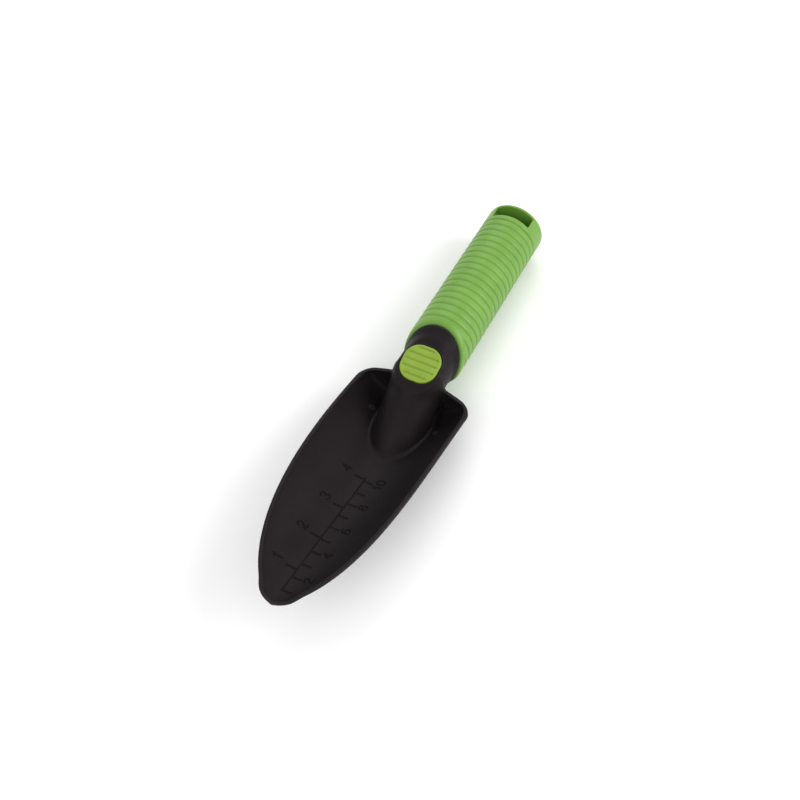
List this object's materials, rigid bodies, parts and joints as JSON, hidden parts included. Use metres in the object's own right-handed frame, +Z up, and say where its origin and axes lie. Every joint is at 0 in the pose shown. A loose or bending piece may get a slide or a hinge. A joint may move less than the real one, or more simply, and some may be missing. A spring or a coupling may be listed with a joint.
{
  "type": "hand trowel",
  "caption": "Plastic hand trowel: scoop-shaped blade with an engraved depth scale, round neck with a thumb pad, and a ribbed grip sleeve with a hanging slot.",
  "frame": {"origin": "on the table, under the middle of the trowel as it lies on its heel and the end of its grip", "axes": "+Y from the blade's tip towards the end of the grip, +Z up out of the dish, X across; the left and right halves mirror about X = 0"},
  "size_m": [0.0764, 0.3244, 0.0473],
  "materials": {
    "black_plastic": "satin black moulding with a fine spark-eroded grain",
    "green_plastic": "satin leaf green moulding",
    "lime_rubber": "matt lime soft plastic"
  },
  "bodies": {
    "root": {"blade": "black_plastic", "grip_sleeve": "green_plastic", "thumb_pad": "lime_rubber"}
  },
  "joints": []
}
